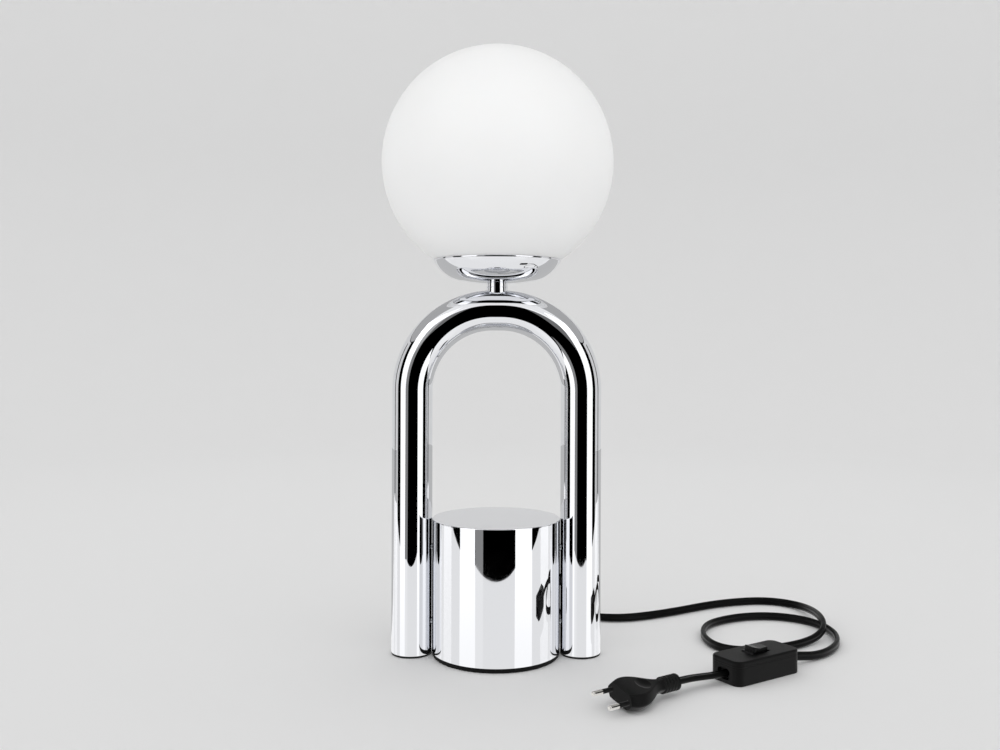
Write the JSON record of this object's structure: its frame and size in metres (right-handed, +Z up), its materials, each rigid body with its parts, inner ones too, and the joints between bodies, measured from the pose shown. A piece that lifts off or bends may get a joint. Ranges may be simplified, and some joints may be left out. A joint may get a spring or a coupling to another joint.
{
  "type": "table lamp",
  "caption": "Table lamp: a chromed tube arch clasps a weighted drum and carries a spun cup with an opal glass globe; flat black cord with inline rocker switch and two-pin plug.",
  "frame": {"origin": "on the surface the lamp stands on, under the centre of the drum and the globe", "axes": "+Z up, +X to the right along the arch's plane, +Y to the back where the cord leaves the drum"},
  "size_m": [0.4127, 0.3197, 0.525],
  "materials": {
    "polished_chrome": "bright chrome plate, mirror polished",
    "opal_glass": "opal white blown glass, satin etched",
    "black_rubber": "matt moulded rubber",
    "black_glide_plastic": "matt moulded plastic",
    "black_cord_sheath": "satin extruded flex sheath",
    "black_switch_plastic": "fine spark-eroded moulded plastic",
    "black_rocker_plastic": "smooth moulded plastic",
    "zinc_steel": "zinc plated steel",
    "cast_iron": "grey iron casting, sand skin",
    "brass": "stamped brass",
    "black_holder_plastic": "moulded thermoset",
    "white_insulator": "glazed insulator",
    "black_bulb_insulator": "black glass insulator",
    "bulb_cap_aluminium": "rolled aluminium cap",
    "frosted_bulb_glass": "inside frosted glass",
    "nickel_pins": "nickel plated pins"
  },
  "bodies": {
    "lamp": {"drum_shell": "polished_chrome", "arch_tube": "polished_chrome", "arch_boss": "polished_chrome", "stem_collar": "polished_chrome", "globe_cup": "polished_chrome", "base_pad": "black_rubber", "left_leg_foot": "black_glide_plastic", "right_leg_foot": "black_glide_plastic", "cord_gland": "black_glide_plastic", "wire_bush": "black_glide_plastic", "supply_cord": "black_cord_sheath", "plug_lead": "black_cord_sheath", "cord_tail": "black_cord_sheath", "inner_lead": "black_cord_sheath", "switch_lower_case": "black_switch_plastic", "switch_upper_case": "black_switch_plastic", "plug_body": "black_switch_plastic", "pin_sleeves": "black_switch_plastic", "base_plate": "zinc_steel", "base_ring": "zinc_steel", "base_screws": "zinc_steel", "weight_bolt": "zinc_steel", "leg_bolts": "zinc_steel", "leg_rivet_nuts": "zinc_steel", "threaded_nipple": "zinc_steel", "cup_washer": "zinc_steel", "nipple_lock_nut": "zinc_steel", "gallery_ring": "zinc_steel", "switch_axle": "zinc_steel", "switch_screws": "zinc_steel", "counterweight": "cast_iron", "switch_contacts": "brass", "lampholder_contact": "brass", "lampholder_screw_shell": "brass", "lampholder_base": "black_holder_plastic", "lampholder_sleeve": "black_holder_plastic", "lampholder_contact_block": "white_insulator", "terminal_block": "white_insulator", "plug_pins": "nickel_pins"},
    "globe_seal": {"globe_gasket": "black_rubber"},
    "globe": {"glass_globe": "opal_glass"},
    "bulb": {"bulb_contact": "brass", "bulb_insulator": "black_bulb_insulator", "bulb_cap": "bulb_cap_aluminium", "bulb_glass": "frosted_bulb_glass"},
    "rocker": {"switch_rocker": "black_rocker_plastic"}
  },
  "joints": [
    {"name": "globe_turn", "type": "hinge", "parent": "lamp", "child": "globe_seal", "pos_m": [0, 0, 0.33], "axis": [0, 0, 1], "range_deg": [0, 450]},
    {"name": "globe_rise", "type": "slide", "parent": "globe_seal", "child": "globe", "axis": [0, 0, 1], "range_m": [0, 0.0051]},
    {"name": "bulb_turn", "type": "hinge", "parent": "lamp", "child": "bulb", "pos_m": [0, 0, 0.36], "axis": [0, 0, 1], "range_deg": [0, 1080]},
    {"name": "rocker_tilt", "type": "hinge", "parent": "lamp", "child": "rocker", "pos_m": [0.21167, -0.05413, 0.0145], "axis": [0.5445, -0.8387, 0], "range_deg": [0, 10]}
  ],
  "couplings": [
    {"joint": "globe_rise", "follows": "globe_turn", "m_per_rad": 0.00063662}
  ]
}
